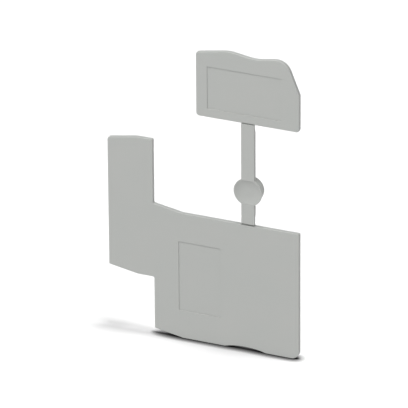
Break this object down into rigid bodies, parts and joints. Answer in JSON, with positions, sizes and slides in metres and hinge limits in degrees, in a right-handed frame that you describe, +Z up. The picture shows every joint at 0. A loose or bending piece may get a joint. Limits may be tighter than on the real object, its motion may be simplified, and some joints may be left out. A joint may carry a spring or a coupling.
{
  "type": "terminal block end cover",
  "caption": "Flat moulded end cover for a rail terminal block: an L-shaped cover and a small cover joined by a snap-off strap with a gate disc.",
  "frame": {"origin": "root of the main locating peg, on the back face that closes the terminal block, at the large cover's lower left", "axes": "+X to the right as seen from the front, along the terminal block; +Y out of the back face, into the block; +Z up, away from the rail"},
  "size_m": [0.1112, 0.0063, 0.1761],
  "materials": {
    "polyamide": "moulded, fine satin"
  },
  "bodies": {
    "root": {"end_cover": "polyamide"}
  },
  "joints": []
}
